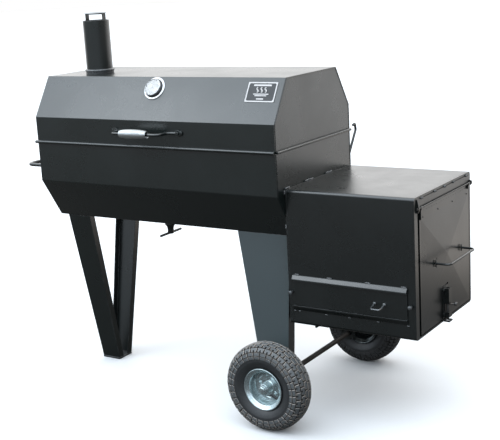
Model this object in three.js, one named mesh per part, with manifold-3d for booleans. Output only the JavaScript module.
// An offset smoker: an octagonal cooking chamber with a hinged lid and chimney, a square firebox
// on its right end, a V-shaped stand on the left and an axle with two pneumatic wheels on the right.
// Millimetres, +Z up, +X towards the firebox, -Y towards the cook. The design is drawn with x = 0 at
// the chamber's left end, and the whole group is shifted at the end so that the origin is on the
// ground under the middle of the bounding box.
import * as THREE from "three";
import { mergeVertices } from "three/addons/utils/BufferGeometryUtils.js";
import { ConvexGeometry } from "three/addons/geometries/ConvexGeometry.js";
import Module from "manifold-3d";

const wasm = await Module();
wasm.setup();

// ---------------------------------------------------------------- driving dimensions
const GAP = 0.3; // between pieces that touch

// Cooking chamber: 36 inches long, 18 inches deep, folded from sheet
const LENGTH = 914.4;
const HALF_DEPTH = 228.6;
const HALF_FLAT = 151; // half the width of the flat top and of the flat bottom
const Z_TOP = 1013;
const Z_FOLD = 888; // where the lid's front turns into the slope
const Z_SEAM = 807; // underside of the lid
const Z_KNEE = 677; // where the chamber's front turns into the lower slope
const Z_BOTTOM = 546;
const SHEET = 3.2;
const SEAM_GAP = 2;

// Firebox: a 16 inch cube of heavier plate
const BOX_SIZE = 406.4;
const BOX_X0 = LENGTH + GAP;
const BOX_X1 = LENGTH + BOX_SIZE;
const BOX_Y0 = -190;
const BOX_Y1 = BOX_Y0 + BOX_SIZE;
const BOX_Z0 = 288.6;
const BOX_Z1 = BOX_Z0 + BOX_SIZE;
const PLATE = 6.35;
const BOX_CORNER = 9; // outer bend radius of the firebox wrap

// Chimney on the lid
const CHIMNEY_X = 153;
const CHIMNEY_Y = -67;
const CHIMNEY_R = 43;
const CHIMNEY_BORE_R = 38;
const CHIMNEY_TOP = 1187;
const CAP_RISE = 21;

// Lid hinge and stops
const HINGE_Y = 238;
const HINGE_Z = 800;
const HINGE_XS = [110, 830];
const HINGE_HALF = 60;
const STOP_XS = [10, 908];
const STOP_ROD_R = 4;

// Lid furniture
const GAUGE_X = 456;
const GAUGE_DOWN = 40; // distance down the slope from the top fold
const BADGE_X = 846;
const BADGE_DOWN = 47;
const HANDLE_X0 = 356;
const HANDLE_X1 = 538;
const HANDLE_Z = 853;
const HANDLE_REACH = 50;
const HANDLE_ROD_R = 4.5;

// Wheels: 10.5 inch pneumatic
const WHEEL_X = 904;
const WHEEL_R = 133;
const WHEEL_WIDTH = 86;
const WHEEL_Y = 312; // centre plane of each wheel from the middle
const AXLE_R = 8;
const RIM_R = 63.5;
const HUB_HALF = 34;

// Legs
const LEG_SHEET = 4;
const STAND_Y = -12; // middle of the V-shaped stand
const STAND_FOOT_HALF = 33;
const STAND_TOP_HALF = 138;
const RIGHT_LEG_SPLAY = 0.1; // outward run for each millimetre down

// Firebox door, hung at its top edge
const DOOR = { y0: -157, y1: 205, z0: 297, z1: 660 };
const DOOR_PLATE = 5;
const DOOR_GAP = 3;
const DOOR_SIDE_GAP = 12; // wider at the door's front edge
const DOOR_PIN_X = BOX_X1 + 3.6;
const DOOR_PIN_Z = 662;
const DOOR_PIN_R = 2.2;
const DOOR_KNUCKLE_R = 3.2;
const DOOR_BREAK = 6; // height of the cross-broken panel's middle
const DOOR_HANDLE = { y0: -62, y1: 127, z: 481, reach: 48, r: 3.4 };
const LATCH_Y = 9;
const LATCH_BOLT_R = 5;
const KEEPER_EYE_HALF = 6.6; // half the square eye that the bolt drops into

// Ash drawer in the firebox front
const DRAWER = { x0: 934, x1: 1296, z0: 350, z1: 423 };
const TRAY = { x0: 946, x1: 1282, z0: 357, z1: 414, depth: 352 };
const PULL_X = 1212;
const PULL_HALF = 15;
const PULL_Z = 386;
const PULL_REACH = 30;
const PULL_DROOP = 8;
const SCREW_XS = [926, 1307];
const SCREW_Z = 388;

// Lift handle on the chamber's left end, and drain under the chamber
const LIFT = { reach: 95, half: 190, z: 719, r: 6 };
const DRAIN_X = 345;
const DRAIN_Y = 0;

// Grates
const GRATE_Z = 762;
const CHARCOAL_Z = 442;

// ---------------------------------------------------------------- solids
const ROUND = 14; // sides of a rod
const UP = new THREE.Vector3(0, 0, 1);

// A closed geometry as a solid, turned face out if its faces point inwards.
function solid(geometry) {
  const g = geometry.index ? geometry.toNonIndexed() : geometry.clone();
  for (const name of Object.keys(g.attributes)) if (name !== "position") g.deleteAttribute(name);
  const merged = mergeVertices(g, 1e-4);
  const make = () =>
    new wasm.Manifold(
      new wasm.Mesh({
        numProp: 3,
        vertProperties: new Float32Array(merged.attributes.position.array),
        triVerts: new Uint32Array(merged.index.array),
      }),
    );
  const made = make();
  if (made.volume() >= 0) return made;
  const order = merged.index.array;
  for (let i = 0; i < order.length; i += 3) [order[i + 1], order[i + 2]] = [order[i + 2], order[i + 1]];
  return make();
}

const join = (...pieces) => pieces.reduce((all, piece) => all.add(piece));
const cut = (piece, ...tools) => tools.reduce((left, tool) => left.subtract(tool), piece);

// A solid moved by a matrix, by way of its geometry.
function moved(piece, matrix) {
  return solid(geometryOf(piece).applyMatrix4(matrix));
}

function geometryOf(piece) {
  const mesh = piece.getMesh();
  const g = new THREE.BufferGeometry();
  const xyz = new Float32Array(mesh.numVert * 3);
  for (let i = 0; i < mesh.numVert; i++)
    xyz.set(mesh.vertProperties.subarray(i * mesh.numProp, i * mesh.numProp + 3), i * 3);
  g.setAttribute("position", new THREE.BufferAttribute(xyz, 3));
  g.setIndex(new THREE.BufferAttribute(mesh.triVerts, 1));
  g.computeVertexNormals();
  return g;
}

function box(x0, x1, y0, y1, z0, z1) {
  const g = new THREE.BoxGeometry(x1 - x0, y1 - y0, z1 - z0);
  return solid(g.translate((x0 + x1) / 2, (y0 + y1) / 2, (z0 + z1) / 2));
}

function outline(points) {
  return new THREE.Shape(points.map(([u, v]) => new THREE.Vector2(u, v)));
}

// A shape in the plane of axes u and v, drawn out along u x v from the offset `from` to `to`.
function drawOut(shape, u, v, from, to, curveSegments = 4) {
  const g = new THREE.ExtrudeGeometry(shape, { depth: to - from, bevelEnabled: false, curveSegments });
  const w = new THREE.Vector3().crossVectors(u, v);
  const frame = new THREE.Matrix4().makeBasis(u, v, w).setPosition(w.clone().multiplyScalar(from));
  return solid(g.applyMatrix4(frame));
}

const X = new THREE.Vector3(1, 0, 0);
const Y = new THREE.Vector3(0, 1, 0);
const Z = UP;
const alongX = (shape, x0, x1, segments) => drawOut(shape, Y, Z, x0, x1, segments); // (y, z)
const alongY = (shape, y0, y1, segments) => drawOut(shape, Z, X, y0, y1, segments); // (z, x)
const alongZ = (shape, z0, z1, segments) => drawOut(shape, X, Y, z0, z1, segments); // (x, y)
const prismX = (points, x0, x1) => alongX(outline(points), x0, x1);
const prismY = (points, y0, y1) => alongY(outline(points.map(([x, z]) => [z, x])), y0, y1); // (x, z)
const prismZ = (points, z0, z1) => alongZ(outline(points), z0, z1);

// A round bar between two points.
function bar(a, b, r, sides = ROUND) {
  const from = new THREE.Vector3(...a);
  const to = new THREE.Vector3(...b);
  const g = new THREE.CylinderGeometry(r, r, from.distanceTo(to), sides);
  const turn = new THREE.Quaternion().setFromUnitVectors(Y, to.clone().sub(from).normalize());
  return solid(g.applyQuaternion(turn).translate(...from.add(to).multiplyScalar(0.5).toArray()));
}

// A body of revolution about the axis through `at`, from [radius, distance along the axis] points.
function turned(profile, at, axis, sides = 32) {
  const g = new THREE.LatheGeometry(profile.map(([r, d]) => new THREE.Vector2(r, d)), sides);
  const turn = new THREE.Quaternion().setFromUnitVectors(Y, axis);
  return solid(g.applyQuaternion(turn).translate(...at));
}

const closed = (points) => [...points, points[0]];

// A rod bent through the corner points, with bends of the given radius.
function bentRod(corners, r, bend, steps, sides = 8) {
  const points = corners.map((p) => new THREE.Vector3(...p));
  const path = new THREE.CurvePath();
  let start = points[0];
  for (let i = 1; i < points.length - 1; i++) {
    const before = points[i].clone().sub(points[i - 1]).normalize();
    const after = points[i + 1].clone().sub(points[i]).normalize();
    const leave = points[i].clone().addScaledVector(before, -bend);
    const enter = points[i].clone().addScaledVector(after, bend);
    path.add(new THREE.LineCurve3(start, leave));
    path.add(new THREE.QuadraticBezierCurve3(leave, points[i], enter));
    start = enter;
  }
  path.add(new THREE.LineCurve3(start, points[points.length - 1]));
  const section = outline(
    Array.from({ length: sides }, (_, k) => {
      const angle = (2 * Math.PI * k) / sides;
      return [r * Math.cos(angle), r * Math.sin(angle)];
    }),
  );
  return solid(new THREE.ExtrudeGeometry(section, { steps, extrudePath: path, bevelEnabled: false }));
}

// The outline of a bent sheet: the open path and its mitred offset to the left by the thickness.
function sheetOutline(path, thickness) {
  const offset = path.map(([u, v], i) => {
    const normals = [];
    for (const [a, b] of [[path[i - 1], path[i]], [path[i], path[i + 1]]]) {
      if (!a || !b) continue;
      const run = Math.hypot(b[0] - a[0], b[1] - a[1]);
      normals.push([-(b[1] - a[1]) / run, (b[0] - a[0]) / run]);
    }
    const nu = normals.reduce((s, n) => s + n[0], 0) / normals.length;
    const nv = normals.reduce((s, n) => s + n[1], 0) / normals.length;
    const k = thickness / (nu * nu + nv * nv);
    return [u + nu * k, v + nv * k];
  });
  return [...path, ...offset.reverse()];
}

// Each point of a convex outline moved inwards by a distance, as for a plate that sits in a wrap.
function inset(points, distance) {
  const n = points.length;
  return points.map((p, i) => {
    const a = points[(i + n - 1) % n];
    const b = points[(i + 1) % n];
    const ra = Math.hypot(p[0] - a[0], p[1] - a[1]);
    const rb = Math.hypot(b[0] - p[0], b[1] - p[1]);
    const na = [-(p[1] - a[1]) / ra, (p[0] - a[0]) / ra];
    const nb = [-(b[1] - p[1]) / rb, (b[0] - p[0]) / rb];
    const k = distance / (1 + na[0] * nb[0] + na[1] * nb[1]);
    return [p[0] + (na[0] + nb[0]) * k, p[1] + (na[1] + nb[1]) * k];
  });
}

// A rectangle with rounded corners, as a shape.
function roundedRectangle(u0, u1, v0, v1, r) {
  const shape = new THREE.Shape();
  shape.moveTo(u0 + r, v0);
  shape.lineTo(u1 - r, v0);
  shape.absarc(u1 - r, v0 + r, r, -Math.PI / 2, 0);
  shape.lineTo(u1, v1 - r);
  shape.absarc(u1 - r, v1 - r, r, 0, Math.PI / 2);
  shape.lineTo(u0 + r, v1);
  shape.absarc(u0 + r, v1 - r, r, Math.PI / 2, Math.PI);
  shape.lineTo(u0, v0 + r);
  shape.absarc(u0 + r, v0 + r, r, Math.PI, 1.5 * Math.PI);
  return shape;
}

// ---------------------------------------------------------------- materials
const finish = (color, roughness, metalness) => new THREE.MeshStandardMaterial({ color, roughness, metalness });
const paint = finish(0x2b3031, 0.38, 0.35);
const heatPaint = finish(0x26292a, 0.5, 0.3);
const bareSteel = finish(0x55585a, 0.55, 0.8);
const stainless = finish(0xc9cdd0, 0.25, 1);
const zinc = finish(0xb9c4c8, 0.35, 1);
const rubber = finish(0x3c3d3d, 0.85, 0);
const dialWhite = finish(0xf2f3f2, 0.4, 0);
const clearGlass = finish(0xe8eef0, 0.05, 0);
const springSteel = finish(0xd3d6d6, 0.3, 1);

const smoker = new THREE.Group();

function node(name, piece, material, parent = smoker) {
  const mesh = new THREE.Mesh(geometryOf(piece), material);
  mesh.name = name;
  parent.add(mesh);
  return mesh;
}

// ---------------------------------------------------------------- chamber
const bodyPath = [
  [-HALF_DEPTH, Z_SEAM - SEAM_GAP],
  [-HALF_DEPTH, Z_KNEE],
  [-HALF_FLAT, Z_BOTTOM],
  [HALF_FLAT, Z_BOTTOM],
  [HALF_DEPTH, Z_KNEE],
  [HALF_DEPTH, Z_SEAM - SEAM_GAP],
];
const THROAT = { halfWidth: 130, z0: 572, z1: 640 };
const DRAIN_BORE_R = 12;

function chamber() {
  const drainHole = bar([DRAIN_X, DRAIN_Y, Z_BOTTOM - 5], [DRAIN_X, DRAIN_Y, Z_BOTTOM + 10], DRAIN_BORE_R);
  node("body_shell", cut(prismX(sheetOutline(bodyPath, SHEET), 0, LENGTH), drainHole), paint);

  const endOutline = inset(bodyPath, SHEET + GAP);
  endOutline[0][1] = Z_SEAM - SEAM_GAP;
  endOutline[endOutline.length - 1][1] = Z_SEAM - SEAM_GAP;
  const endPlate = (x0) => prismX(endOutline, x0, x0 + SHEET);
  node("body_end_left", endPlate(0), paint);
  node("body_end_right", cut(endPlate(LENGTH - SHEET), throatCutter()), paint);

  // The baffle spreads the heat that comes in through the throat.
  const baffleZ = 650;
  const baffleHalf = HALF_DEPTH - SHEET - ((Z_KNEE - baffleZ) * (HALF_DEPTH - HALF_FLAT)) / (Z_KNEE - Z_BOTTOM) - 8;
  node("baffle_plate", box(560, LENGTH - SHEET - GAP, -baffleHalf, baffleHalf, baffleZ, baffleZ + 4), bareSteel);

  for (const [name, side] of [["grate_rail_front", -1], ["grate_rail_back", 1]]) {
    const wall = HALF_DEPTH - SHEET - GAP;
    const y = [side * wall, side * (wall - 14)].sort((a, b) => a - b);
    node(name, box(SHEET + GAP, LENGTH - SHEET - GAP, y[0], y[1], GRATE_Z - 5.3, GRATE_Z - GAP), bareSteel);
  }
  node("cooking_grate", grate(8, LENGTH - 8, 214, 17, 2, 6, GRATE_Z), bareSteel);
}

const throatCutter = () =>
  box(LENGTH - 20, LENGTH + 20, -THROAT.halfWidth, THROAT.halfWidth, THROAT.z0, THROAT.z1);

// A rectangle of parallel bars on a rim with cross bars, centred on y = middle.
function grate(x0, x1, half, bars, crossBars, height, z, middle = 0) {
  const pieces = [];
  const wide = 6;
  for (const y of [-half, half - wide]) pieces.push(box(x0, x1, middle + y, middle + y + wide, z, z + height));
  for (let i = 0; i <= crossBars; i++) {
    const x = x0 + ((x1 - x0 - wide) * i) / crossBars;
    pieces.push(box(x, x + wide, middle - half, middle + half, z, z + height));
  }
  for (let i = 1; i < bars; i++) {
    const y = middle - half + ((2 * half - wide) * i) / bars;
    pieces.push(box(x0 + 1, x1 - 1, y + 1, y + wide - 1, z + 1, z + height - 1));
  }
  return join(...pieces);
}

function liftHandle() {
  const { reach, half, z, r } = LIFT;
  const rod = bentRod([[-GAP, -half, z], [-reach, -half, z], [-reach, half, z], [-GAP, half, z]], r, 18, 36);
  node("lift_handle", rod, paint);
}

function drain() {
  const at = [DRAIN_X, DRAIN_Y, Z_BOTTOM - GAP];
  const coupling = turned(
    closed([[DRAIN_BORE_R, 0], [19, 0], [19, -34], [DRAIN_BORE_R, -34]]),
    at,
    UP,
    24,
  );
  node("drain_coupling", coupling, bareSteel);
  const plug = turned([[0, -6], [11.4, -6], [11.4, -34.4], [18, -34.4], [18, -44], [10.5, -58], [10.5, -75], [0, -75]], at, UP, 20);
  const tee = bar([DRAIN_X, DRAIN_Y - 57, Z_BOTTOM - 72], [DRAIN_X, DRAIN_Y + 57, Z_BOTTOM - 72], 4.2);
  node("drain_plug", join(plug, tee), bareSteel);
}

// ---------------------------------------------------------------- lid
const lidPath = [
  [HALF_DEPTH, Z_SEAM],
  [HALF_DEPTH, Z_FOLD],
  [HALF_FLAT, Z_TOP],
  [-HALF_FLAT, Z_TOP],
  [-HALF_DEPTH, Z_FOLD],
  [-HALF_DEPTH, Z_SEAM],
];
// The lid's front slope as a frame: its origin on the top fold, local -Y running down the slope
// and local Z pointing out of it.
const slopeTilt = Math.PI / 2 - Math.atan2(HALF_DEPTH - HALF_FLAT, Z_TOP - Z_FOLD);

function slopeFrame(x, down) {
  const frame = new THREE.Group();
  frame.position.set(x, -HALF_FLAT, Z_TOP);
  frame.rotation.x = slopeTilt;
  const inner = new THREE.Group();
  inner.position.y = -down;
  frame.add(inner);
  smoker.add(frame);
  frame.updateMatrixWorld(true);
  return inner;
}

const GAUGE_STEM_R = 4;

function lid() {
  const chimneyHole = bar([CHIMNEY_X, CHIMNEY_Y, Z_TOP - 20], [CHIMNEY_X, CHIMNEY_Y, Z_TOP + 20], CHIMNEY_R + GAP, 32);
  const stemHole = bar([0, 0, -12], [0, 0, 12], GAUGE_STEM_R + GAP);
  const gaugeFrame = slopeFrame(GAUGE_X, GAUGE_DOWN);
  const shell = prismX(sheetOutline(lidPath, SHEET), 0, LENGTH);
  node("lid_shell", cut(shell, chimneyHole, moved(stemHole, gaugeFrame.matrixWorld)), paint);

  const endOutline = inset(lidPath, SHEET + GAP);
  endOutline[0][1] = Z_SEAM;
  endOutline[endOutline.length - 1][1] = Z_SEAM;
  // A rod runs along the foot of each end plate, over the seam, on a weld that bridges the gap.
  const endRodR = 4.2;
  const endRodHalf = HALF_DEPTH - 3;
  for (const [name, x0, outer, out] of [["lid_end_left", 0, 0, -1], ["lid_end_right", LENGTH - SHEET, LENGTH, 1]]) {
    const plate = prismX(endOutline, x0, x0 + SHEET);
    const rodX = outer + out * (GAP + endRodR);
    const rod = bar([rodX, -endRodHalf, Z_SEAM], [rodX, endRodHalf, Z_SEAM], endRodR, 16);
    const inner = outer - out;
    const weld = box(Math.min(inner, rodX), Math.max(inner, rodX), -HALF_DEPTH + 6, HALF_DEPTH - 6, Z_SEAM + 1, Z_SEAM + 3.5);
    node(name, join(plate, rod, weld), paint);
  }
  const barR = 5;
  const barY = -HALF_DEPTH - 0.5 - barR;
  node("lid_edge_bar", bar([-5, barY, Z_SEAM], [LENGTH, barY, Z_SEAM], barR), paint);
}

function chimney() {
  const at = [CHIMNEY_X, CHIMNEY_Y, 0];
  const pipe = closed([
    [CHIMNEY_BORE_R, Z_TOP - 8],
    [CHIMNEY_R, Z_TOP - 8],
    [CHIMNEY_R, CHIMNEY_TOP],
    [CHIMNEY_BORE_R, CHIMNEY_TOP],
  ]);
  node("chimney_pipe", turned(pipe, at, UP, 32), paint);
  const r = CHIMNEY_R + GAP;
  const z = Z_TOP + GAP;
  const ring = closed([[r, z], [r + 2.6, z], [r + 2.6, z + 9], [r + 4.6, z + 11], [r + 4.2, z + 16], [r, z + 17]]);
  node("chimney_collar", turned(ring, at, UP, 32), paint);

  const strapOut = CHIMNEY_BORE_R - GAP;
  const capZ = CHIMNEY_TOP + CAP_RISE;
  // One strap, bent over in a U, is welded inside the pipe and carries the cap.
  const strapHalf = 8;
  const strapSheet = 3;
  const reach = Math.sqrt(CHIMNEY_BORE_R ** 2 - strapHalf ** 2) - GAP;
  const upright = (outer, top) =>
    box(CHIMNEY_X - outer, CHIMNEY_X + outer, CHIMNEY_Y - strapHalf, CHIMNEY_Y + strapHalf, CHIMNEY_TOP - 30, top);
  const under = box(
    CHIMNEY_X - reach + strapSheet, CHIMNEY_X + reach - strapSheet,
    CHIMNEY_Y - 20, CHIMNEY_Y + 20, CHIMNEY_TOP - 40, capZ - GAP - strapSheet,
  );
  node("cap_strap", cut(upright(reach, capZ - GAP), under), paint);
  const cap = [[0, capZ], [strapOut, capZ], [strapOut, capZ + 1.6], [26, capZ + 4], [13, capZ + 5.4], [0, capZ + 5.8]];
  node("chimney_cap", turned(cap, at, UP, 24), stainless);
}

function gauge() {
  const frame = slopeFrame(GAUGE_X, GAUGE_DOWN);
  const flange = [[GAUGE_STEM_R + GAP, 0.3], [38, 0.3], [38, 1.6], [35, 3], [30, 3], [28.3, 2.3], [GAUGE_STEM_R + GAP, 2.3]];
  node("gauge_flange", turned(closed(flange), [0, 0, 0], UP, 28), stainless, frame);
  const caseProfile = [
    [0, -62], [3, -62], [3, -6], [GAUGE_STEM_R, -6], [GAUGE_STEM_R, 2.6], [27, 2.6], [28, 4], [28, 12], [25.5, 13],
    [25.5, 10], [0, 10],
  ];
  node("gauge_case", turned(caseProfile, [0, 0, 0], UP, 24), stainless, frame);
  node("gauge_lens", turned([[0, 10.3], [25.1, 10.3], [25.1, 11.6], [0, 12.4]], [0, 0, 0], UP, 24), clearGlass, frame);
}

function badge() {
  const frame = slopeFrame(BADGE_X, BADGE_DOWN);
  const plate = drawOut(roundedRectangle(-49.5, 49.5, -31.5, 31.5, 2), X, Y, GAP, GAP + 1.5);
  node("badge_plate", plate, dialWhite, frame);
}

function lidHandle() {
  const faceY = -HALF_DEPTH - GAP - HANDLE_ROD_R;
  const outY = -HALF_DEPTH - HANDLE_REACH;
  // The left eye sits close behind its leg of the rod, the right one further along the lid.
  const footLeft = 18;
  const footRight = 30;
  const rod = bentRod(
    [
      [HANDLE_X0 - footLeft, faceY, HANDLE_Z],
      [HANDLE_X0 - 3, faceY, HANDLE_Z],
      [HANDLE_X0, outY, HANDLE_Z],
      [HANDLE_X1, outY, HANDLE_Z],
      [HANDLE_X1, faceY, HANDLE_Z],
      [HANDLE_X1 + footRight, faceY, HANDLE_Z],
    ],
    HANDLE_ROD_R,
    12,
    48,
  );
  // Each end is hammered flat into an eye that a bolt holds to the lid.
  const eye = (x) =>
    drawOut(roundedRectangle(-19, 19, -8, 8, 7.9), X, Z, HALF_DEPTH + GAP, HALF_DEPTH + GAP + 5, 6).translate([
      x, 0, HANDLE_Z,
    ]);
  const bolt = (x) => bar([x, -HALF_DEPTH - 3, HANDLE_Z], [x, -HALF_DEPTH - 12, HANDLE_Z], 6.5, 6);
  const left = HANDLE_X0 - footLeft + 2;
  const right = HANDLE_X1 + footRight + 7;
  node("lid_handle", join(rod, eye(left), eye(right), bolt(left - 3), bolt(right + 3)), paint);

  const gripHalf = 53;
  const gripX = (HANDLE_X0 + HANDLE_X1) / 2 - 2;
  const bore = HANDLE_ROD_R + 0.6;
  const barrel = closed([
    [bore, -gripHalf],
    [11, -gripHalf],
    [14, -gripHalf * 0.7],
    [15.4, -gripHalf * 0.3],
    [15.4, gripHalf * 0.3],
    [14, gripHalf * 0.7],
    [11, gripHalf],
    [bore, gripHalf],
  ]);
  node("lid_grip", turned(barrel, [gripX, outY, HANDLE_Z], X, 24), springSteel);
}

function hinges() {
  const back = HALF_DEPTH + GAP;
  const leaf = 4;
  const knuckleR = 6.5;
  const boreR = 3.8;
  const pinR = 3.4;
  const third = HINGE_HALF / 3;
  HINGE_XS.forEach((x, i) => {
    const side = i ? "right" : "left";
    const knuckle = (x0, x1) => bar([x0, HINGE_Y, HINGE_Z], [x1, HINGE_Y, HINGE_Z], knuckleR, 20);
    const lower = [[back, HINGE_Z - 50], [back + leaf, HINGE_Z - 50], [back + leaf, HINGE_Z - 9], [HINGE_Y, HINGE_Z - 3], [HINGE_Y - 4, HINGE_Z + 1], [back, HINGE_Z - 6]];
    const ends = [[x - HINGE_HALF, x - third - 0.5], [x + third + 0.5, x + HINGE_HALF]];
    const leafPlate = box(x - HINGE_HALF, x + HINGE_HALF, back, back + leaf, HINGE_Z - 50, HINGE_Z - 9);
    const pin = bar([x - HINGE_HALF - 6, HINGE_Y, HINGE_Z], [x + HINGE_HALF + 18, HINGE_Y, HINGE_Z], pinR, 14);
    const bodyLeaf = join(leafPlate, pin, ...ends.flatMap(([x0, x1]) => [knuckle(x0, x1), prismX(lower, x0, x1)]));
    node("hinge_leaf_body_" + side, bodyLeaf, paint);

    const upper = [[back, Z_SEAM - 3], [HINGE_Y - 3, HINGE_Z - 1], [HINGE_Y + 3, HINGE_Z + 4], [back + leaf, HINGE_Z + 16], [back + leaf, HINGE_Z + 56], [back, HINGE_Z + 56]];
    const lidLeaf = join(
      box(x - HINGE_HALF, x + HINGE_HALF, back, back + leaf, HINGE_Z + 12, HINGE_Z + 56),
      knuckle(x - third, x + third),
      prismX(upper, x - third, x + third),
    );
    const bore = bar([x - third - 1, HINGE_Y, HINGE_Z], [x + third + 1, HINGE_Y, HINGE_Z], boreR, 20);
    node("hinge_leaf_lid_" + side, cut(lidLeaf, bore), paint);
  });
}

function lidStops() {
  const wallY = HALF_DEPTH + GAP + STOP_ROD_R;
  STOP_XS.forEach((x, i) => {
    const route = [[x, wallY, 692], [x, wallY, 728], [x, 282, 798], [x, 277, 820], [x, 263, 814]];
    node("lid_stop_" + (i ? "right" : "left"), bentRod(route, STOP_ROD_R, 5, 26), paint);
  });
}

// ---------------------------------------------------------------- legs, axle and wheels
// A tapered channel leg hanging from z = 0: the web's outer face is at y = 0, from `top` to `bottom`
// in x, and its flanges run towards +Y.
function channelLeg(top, bottom, height, flange) {
  const outer = [[top[0], 0], [bottom[0], -height], [bottom[1], -height], [top[1], 0]];
  const grow = (at, edge) => {
    const slope = (bottom[edge] - top[edge]) / height;
    return top[edge] + slope * -at + (edge ? -LEG_SHEET : LEG_SHEET);
  };
  const inner = [[grow(10, 0), 10], [grow(-height - 10, 0), -height - 10], [grow(-height - 10, 1), -height - 10], [grow(10, 1), 10]];
  return cut(prismY(outer, 0, flange), prismY(inner, LEG_SHEET, flange + 10));
}

// The leg leaned about its top edge, moved to (y, z) and mirrored to the back where asked.
function placedLeg(leg, run, y, z, mirrored) {
  const place = new THREE.Matrix4().makeTranslation(0, y, z);
  if (mirrored) place.multiply(new THREE.Matrix4().makeScale(1, -1, 1));
  place.multiply(new THREE.Matrix4().makeRotationX(Math.atan(run)));
  return moved(leg, place);
}

function legs() {
  const wide = 2000;
  const band = (z0, z1) => box(-wide, wide, -wide, wide, z0, z1);
  const footPlate = 6;
  const standRun = -(STAND_TOP_HALF - STAND_FOOT_HALF) / Z_BOTTOM;
  const standLeg = channelLeg([30, 124], [38, 109], 640, 24);
  for (const [name, side] of [["left_leg_front", -1], ["left_leg_back", 1]]) {
    // The lean carries the leg inwards as it goes down.
    const top = STAND_Y + side * STAND_TOP_HALF;
    const raised = placedLeg(standLeg, -standRun, top + side * standRun * -20, Z_BOTTOM + 20, side > 0);
    node(name, raised.intersect(band(footPlate + GAP, Z_BOTTOM - GAP)), paint);
  }
  const foot = roundedRectangle(36, 111, STAND_Y - STAND_FOOT_HALF - 2, STAND_Y + STAND_FOOT_HALF + 2, 3);
  node("foot_plate", alongZ(foot, 0, footPlate), paint);

  const rightLeg = channelLeg([714, 900], [808, 900], 455, 36);
  const axleHole = bar([WHEEL_X, -wide, WHEEL_R], [WHEEL_X, wide, WHEEL_R], AXLE_R + GAP, 20);
  const bracketOutline = [
    [868, 178],
    [868, 148],
    [886, 118],
    [896, 112],
    [912, 112],
    [924, 121],
    [927, 133],
    [924, 145],
    [898, 178],
  ];
  for (const [name, side] of [["right_leg_front", -1], ["right_leg_back", 1]]) {
    const raised = placedLeg(rightLeg, -RIGHT_LEG_SPLAY, side * (HALF_FLAT - 2), Z_BOTTOM + 20, side > 0);
    const leg = raised.intersect(band(148, Z_BOTTOM - GAP));
    const outer = HALF_FLAT + RIGHT_LEG_SPLAY * (Z_BOTTOM - WHEEL_R) + 3;
    const y = [side * outer, side * (outer - 9)].sort((a, b) => a - b);
    node(name, cut(join(leg, prismY(bracketOutline, y[0], y[1])), axleHole), paint);
  }
}

function axle() {
  const end = WHEEL_Y + HUB_HALF + 3;
  const collar = WHEEL_Y - HUB_HALF - GAP;
  const half = [[AXLE_R, collar - 6], [15, collar - 6], [15, collar], [AXLE_R, collar], [AXLE_R, end]];
  const mirrored = half.map(([r, d]) => [r, -d]).reverse();
  const profile = [[0, -end], ...mirrored, ...half, [0, end]];
  node("axle", turned(profile, [WHEEL_X, 0, WHEEL_R], Y, 20), paint);
}

function wheel(name, side) {
  const at = [WHEEL_X, side * WHEEL_Y, WHEEL_R];
  const out = side < 0 ? new THREE.Vector3(0, -1, 0) : Y; // profile distances run outwards
  const halfWidth = WHEEL_WIDTH / 2;
  const tyreHalf = [[58.6, 24], [66, 31], [80, 39], [100, halfWidth], [114, halfWidth - 1], [124, halfWidth - 8], [130, 22], [WHEEL_R, 8]];
  const tyre = closed([...tyreHalf, ...tyreHalf.map(([r, d]) => [r, -d]).reverse()]);
  const bore = AXLE_R + GAP;
  const rim = closed([
    [bore, -HUB_HALF],
    [17, -HUB_HALF],
    [17, -5],
    [45, -5],
    [48, -10],
    [49, -28],
    [RIM_R, -36],
    [RIM_R, -33.5],
    [57, -24],
    [54, -12],
    [54, 12],
    [57, 24],
    [RIM_R, 33.5],
    [RIM_R, 36],
    [49, 28],
    [48, 5],
    [45, 0],
    [17, 0],
    [17, HUB_HALF],
    [bore, HUB_HALF],
  ]);
  node(name + "_tyre", turned(tyre, at, out, 40), rubber);
  // The valve stands out of the rim's dish, through a hole in its wall.
  const stemAngle = THREE.MathUtils.degToRad(-38);
  const ray = (r, y) => [WHEEL_X + r * Math.cos(stemAngle), side * (WHEEL_Y + y), WHEEL_R + r * Math.sin(stemAngle)];
  const stem = bar(ray(53, 12), ray(24, 26), 4, 10);
  const hole = bar(ray(62, 7.7), ray(24, 26), 4.5, 10);
  node(name + "_rim", cut(turned(rim, at, out, 32), hole), zinc);
  node(name + "_valve", stem, rubber);
  const cap = [[0, HUB_HALF + 3.5], [9, HUB_HALF + 3.5], [9, HUB_HALF + GAP], [13, HUB_HALF + GAP], [13, HUB_HALF + 4], [9, HUB_HALF + 7], [0, HUB_HALF + 8]];
  node(name + "_axle_cap", turned(cap, at, out, 20), zinc);
}

// ---------------------------------------------------------------- firebox
const boxOutline = () => roundedRectangle(BOX_Y0, BOX_Y1, BOX_Z0, BOX_Z1, BOX_CORNER);

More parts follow.
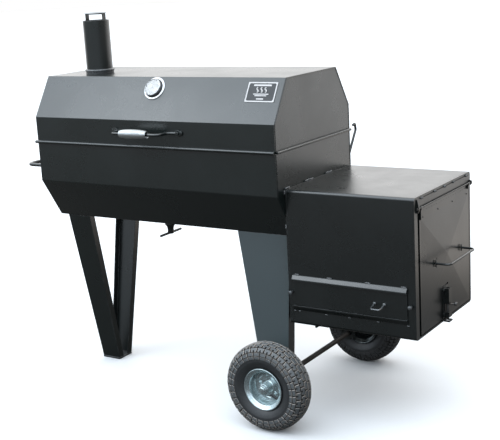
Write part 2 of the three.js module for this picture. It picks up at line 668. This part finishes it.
function firebox() {
  const wrap = boxOutline();
  wrap.holes.push(roundedRectangle(BOX_Y0 + PLATE, BOX_Y1 - PLATE, BOX_Z0 + PLATE, BOX_Z1 - PLATE, BOX_CORNER - PLATE));
  const shell = alongX(wrap, BOX_X0 + PLATE + GAP, BOX_X1 - PLATE - GAP, 5);
  const inside = [BOX_Y0 + 2, BOX_Y1 - 2];
  const runner = (x) => box(x, x + 16, inside[0], inside[1], TRAY.z0 - 6, TRAY.z0 - 1);
  const ledge = (y) => box(BOX_X0 + 14, BOX_X1 - 20, y, y + 12, CHARCOAL_Z - 6, CHARCOAL_Z - 1);
  const slot = box(DRAWER.x0 + 8, DRAWER.x1 - 8, BOX_Y0 - 10, BOX_Y0 + PLATE + 1, DRAWER.z0 + 4, DRAWER.z1 - 4);
  const screwHoles = SCREW_XS.map((x) => bar([x, BOX_Y0 - 5, SCREW_Z], [x, BOX_Y0 + 9, SCREW_Z], 3.6));
  const welded = join(shell, runner(TRAY.x0), runner(TRAY.x1 - 16), ledge(BOX_Y0 + 4), ledge(BOX_Y1 - 16));
  node("firebox_shell", cut(welded, slot, ...screwHoles), heatPaint);

  const leftWall = alongX(boxOutline(), BOX_X0, BOX_X0 + PLATE, 5);
  node("firebox_left_wall", cut(leftWall, throatCutter()), heatPaint);
  node("charcoal_grate", grate(BOX_X0 + 18, BOX_X1 - 18, 192, 11, 2, 9, CHARCOAL_Z, (BOX_Y0 + BOX_Y1) / 2), bareSteel);

  // The right-hand frame: a plate with the door opening, a stop behind it, ears for the hinge pin
  // and, along its top, the groove where the plate meets the wrap.
  const face = BOX_X1;
  const plate = alongX(boxOutline(), face - PLATE, face, 5);
  const opening = box(face - 20, face + 20, DOOR.y0 - DOOR_SIDE_GAP, DOOR.y1 + DOOR_GAP, DOOR.z0 - DOOR_GAP, DOOR.z1 + DOOR_GAP);
  const stopDepth = 10;
  const stop = cut(
    box(face - PLATE - stopDepth, face - PLATE, DOOR.y0 - 18.5, BOX_Y1 - PLATE - 2, BOX_Z0 + PLATE + 1, DOOR.z1 + 12),
    box(face - 40, face + 20, DOOR.y0 + 12, DOOR.y1 - 12, DOOR.z0 + 12, DOOR.z1 - 12),
  );
  const groove = box(face - 3, face + 1, DOOR.y0 + 6, BOX_Y1 - 26, BOX_Z1 - 9, BOX_Z1 - 6.8);
  const ear = (y, top, low) =>
    prismY(
      [[face - 2, top], [face + 3, top], [face + 7.5, DOOR_PIN_Z + 4], [face + 7.5, DOOR_PIN_Z - 4], [face + 4, low], [face - 2, low]],
      y,
      y + 6,
    );
  const pinHole = bar([DOOR_PIN_X, -250, DOOR_PIN_Z], [DOOR_PIN_X, 250, DOOR_PIN_Z], DOOR_PIN_R + GAP);
  const frame = join(cut(plate, opening, groove), stop, ear(DOOR.y0 - 18, 688, 650), ear(BOX_Y1 - 7, 669, 654));
  node("firebox_frame", cut(frame, pinHole), heatPaint);

  // The keeper that the door's bolt drops into, welded to the frame under the latch
  const eye = KEEPER_EYE_HALF;
  const keeper = box(face + GAP, face + 20, LATCH_Y - 12, LATCH_Y + 12, BOX_Z0 + 0.5, BOX_Z0 + 4.9);
  const keeperEye = box(face + 10 - eye, face + 10 + eye, LATCH_Y - eye, LATCH_Y + eye, BOX_Z0 - 5, BOX_Z0 + 12);
  node("latch_keeper", cut(keeper, keeperEye), heatPaint);

  const pin = join(
    bar([DOOR_PIN_X, DOOR.y0 - 22, DOOR_PIN_Z], [DOOR_PIN_X, BOX_Y1 + 5, DOOR_PIN_Z], DOOR_PIN_R),
    bar([DOOR_PIN_X, DOOR.y0 - 22, DOOR_PIN_Z], [DOOR_PIN_X, DOOR.y0 - 18.5, DOOR_PIN_Z], DOOR_KNUCKLE_R),
  );
  node("door_hinge_pin", pin, bareSteel);
}

function fireboxDoor() {
  const face = BOX_X1;
  const plate = box(face - DOOR_PLATE, face, DOOR.y0, DOOR.y1, DOOR.z0, DOOR.z1);
  // The panel is cross-broken: four shallow facets that rise to a point stiffen it.
  const low = 308;
  const high = 628;
  const corners = [[DOOR.y0 + 9, low], [DOOR.y1 - 9, low], [DOOR.y1 - 9, high], [DOOR.y0 + 9, high]];
  const facets = solid(
    new ConvexGeometry([
      ...corners.flatMap(([y, z]) => [new THREE.Vector3(face - 2, y, z), new THREE.Vector3(face, y, z)]),
      new THREE.Vector3(face + DOOR_BREAK, (DOOR.y0 + DOOR.y1) / 2, 488),
    ]),
  );
  // Two straps run up the panel to the knuckles that turn on the pin.
  const strap = (y, width, low) =>
    join(
      box(face - 2, face + 5, y, y + width, low, DOOR.z1 - 0.6),
      box(DOOR_PIN_X - 2, DOOR_PIN_X + 3, y, y + width, DOOR.z1 - 4, DOOR_PIN_Z),
      bar([DOOR_PIN_X, y, DOOR_PIN_Z], [DOOR_PIN_X, y + width, DOOR_PIN_Z], DOOR_KNUCKLE_R, 18),
    );
  const pinHole = bar([DOOR_PIN_X, -250, DOOR_PIN_Z], [DOOR_PIN_X, 250, DOOR_PIN_Z], DOOR_PIN_R + GAP);
  const door = cut(join(plate, facets, strap(DOOR.y0 + 1, 8, 628), strap(DOOR.y1 - 15, 10, 646)), pinHole);

  // The handle is a bent rod with a small tab at each root, welded to the panel.
  const { y0, y1, z, reach, r } = DOOR_HANDLE;
  const surface = face + 3.2;
  const handle = join(
    bentRod([[surface, y0, z], [face + reach, y0, z], [face + reach, y1, z], [surface, y1, z]], r, 12, 34),
    ...[y0, y1].map((y) => box(surface + 1, surface + 5, y - 3, y + 3, z - 10, z + 10)),
  );
  const handleRoom = join(...[y0, y1].map((y) => box(surface - GAP - 0.2, face + 30, y - 12, y + 12, z - 14, z + 14)));
  const latchRoom = box(face + 0.4, face + 30, LATCH_Y - 21, LATCH_Y + 21, DOOR.z0 + 3, 402);
  node("firebox_door", cut(door, handleRoom, latchRoom), heatPaint);
  node("door_handle", handle, heatPaint);

  // The barrel of the drop bolt: a back plate held by four bolts, with two guide blocks.
  const x0 = face + 0.7;
  const boltX = face + 10;
  const barrel = join(
    box(x0, x0 + 3, LATCH_Y - 20, LATCH_Y + 20, DOOR.z0 + 4, 396),
    ...[-15.5, 15.5].flatMap((y) =>
      [312, 385].map((z) => bar([x0 + 2, LATCH_Y + y, z], [x0 + 7, LATCH_Y + y, z], 4, 6)),
    ),
    box(x0 + 2, x0 + 18, LATCH_Y - 11, LATCH_Y + 11, 303, 318),
    box(x0 + 2, x0 + 18, LATCH_Y - 11, LATCH_Y + 11, 344, 390),
  );
  const boltHole = bar([boltX, LATCH_Y, 280], [boltX, LATCH_Y, 420], LATCH_BOLT_R + 0.6, 20);
  node("latch_barrel", cut(barrel, boltHole), heatPaint);
  const knobZ = 340.5;
  const bolt = join(
    bar([boltX, LATCH_Y, DOOR.z0 + 0.5], [boltX, LATCH_Y, 386], LATCH_BOLT_R),
    bar([boltX, LATCH_Y, knobZ], [boltX + 17, LATCH_Y + 8, knobZ], 3, 10),
    turned([[0, -6], [4.5, -4.5], [6, 0], [4.5, 4.5], [0, 6]], [boltX + 20, LATCH_Y + 10, knobZ], X, 14),
  );
  node("latch_bolt", bolt, bareSteel);
}

function ashDrawer() {
  const face = BOX_Y0 - GAP; // welded pieces start here
  // Each rail is a folded strip: a face that slopes out from the wall, then an upright lip over the
  // drawer's edge. Heights run from the wall edge, upwards or downwards.
  const rail = (wallZ, lipZ, endZ, reach) =>
    prismX([[face, wallZ], [face - reach * 0.3, wallZ], [face - reach, lipZ], [face - reach, endZ], [face, endZ]], DRAWER.x0 - 3, DRAWER.x1);
  const upperEnd = DRAWER.z1 + 1;
  const lowerEnd = DRAWER.z0 - 1;
  node("drawer_rail_upper", rail(upperEnd + 17, upperEnd + 5, upperEnd, 10), heatPaint);
  node("drawer_rail_lower", rail(lowerEnd - 15, lowerEnd - 4, lowerEnd, 8), heatPaint);

  const front = box(DRAWER.x0, DRAWER.x1, face - 4, face, DRAWER.z0, DRAWER.z1);
  const { x0, x1, z0, z1, depth } = TRAY;
  const tray = cut(
    box(x0, x1, face - 1, face + depth, z0, z1),
    box(x0 + 2.5, x1 - 2.5, face + 3, face + depth - 2.5, z0 + 2.5, z1 + 5),
  );
  node("ash_drawer", join(front, tray), heatPaint);

  // The pull is a bent rod that stands out of the front and droops a little.
  const [left, right] = [PULL_X - PULL_HALF, PULL_X + PULL_HALF];
  const rootY = face - 4 - GAP;
  const root = (x) => bar([x, rootY, PULL_Z], [x, rootY - 4, PULL_Z], 5, 12);
  const rod = bentRod(
    [
      [left, rootY - 1.5, PULL_Z],
      [left, rootY - PULL_REACH, PULL_Z - PULL_DROOP],
      [right, rootY - PULL_REACH, PULL_Z - PULL_DROOP],
      [right, rootY - 1.5, PULL_Z],
    ],
    2.6,
    8,
    24,
    6,
  );
  node("drawer_pull", join(rod, root(left), root(right)), heatPaint);

  SCREW_XS.forEach((x, i) => {
    const profile = [[0, -14], [3, -14], [3, 1], [2.6, 7], [5.8, 8], [6.2, 12], [4.5, 15], [0, 15.5]];
    const screw = turned(profile, [x, face, SCREW_Z], new THREE.Vector3(0, -1, 0), 14);
    node("side_screw_" + (i ? "right" : "left"), screw, bareSteel);
  });
}

chamber();
liftHandle();
drain();
lid();
chimney();
gauge();
badge();
lidHandle();
hinges();
lidStops();
legs();
axle();
wheel("front", -1);
wheel("rear", 1);
firebox();
fireboxDoor();
ashDrawer();

// The origin goes under the middle of the bounding box.
const bounds = new THREE.Box3().setFromObject(smoker);
smoker.position.set(-(bounds.min.x + bounds.max.x) / 2, 0, 0);

export default smoker;
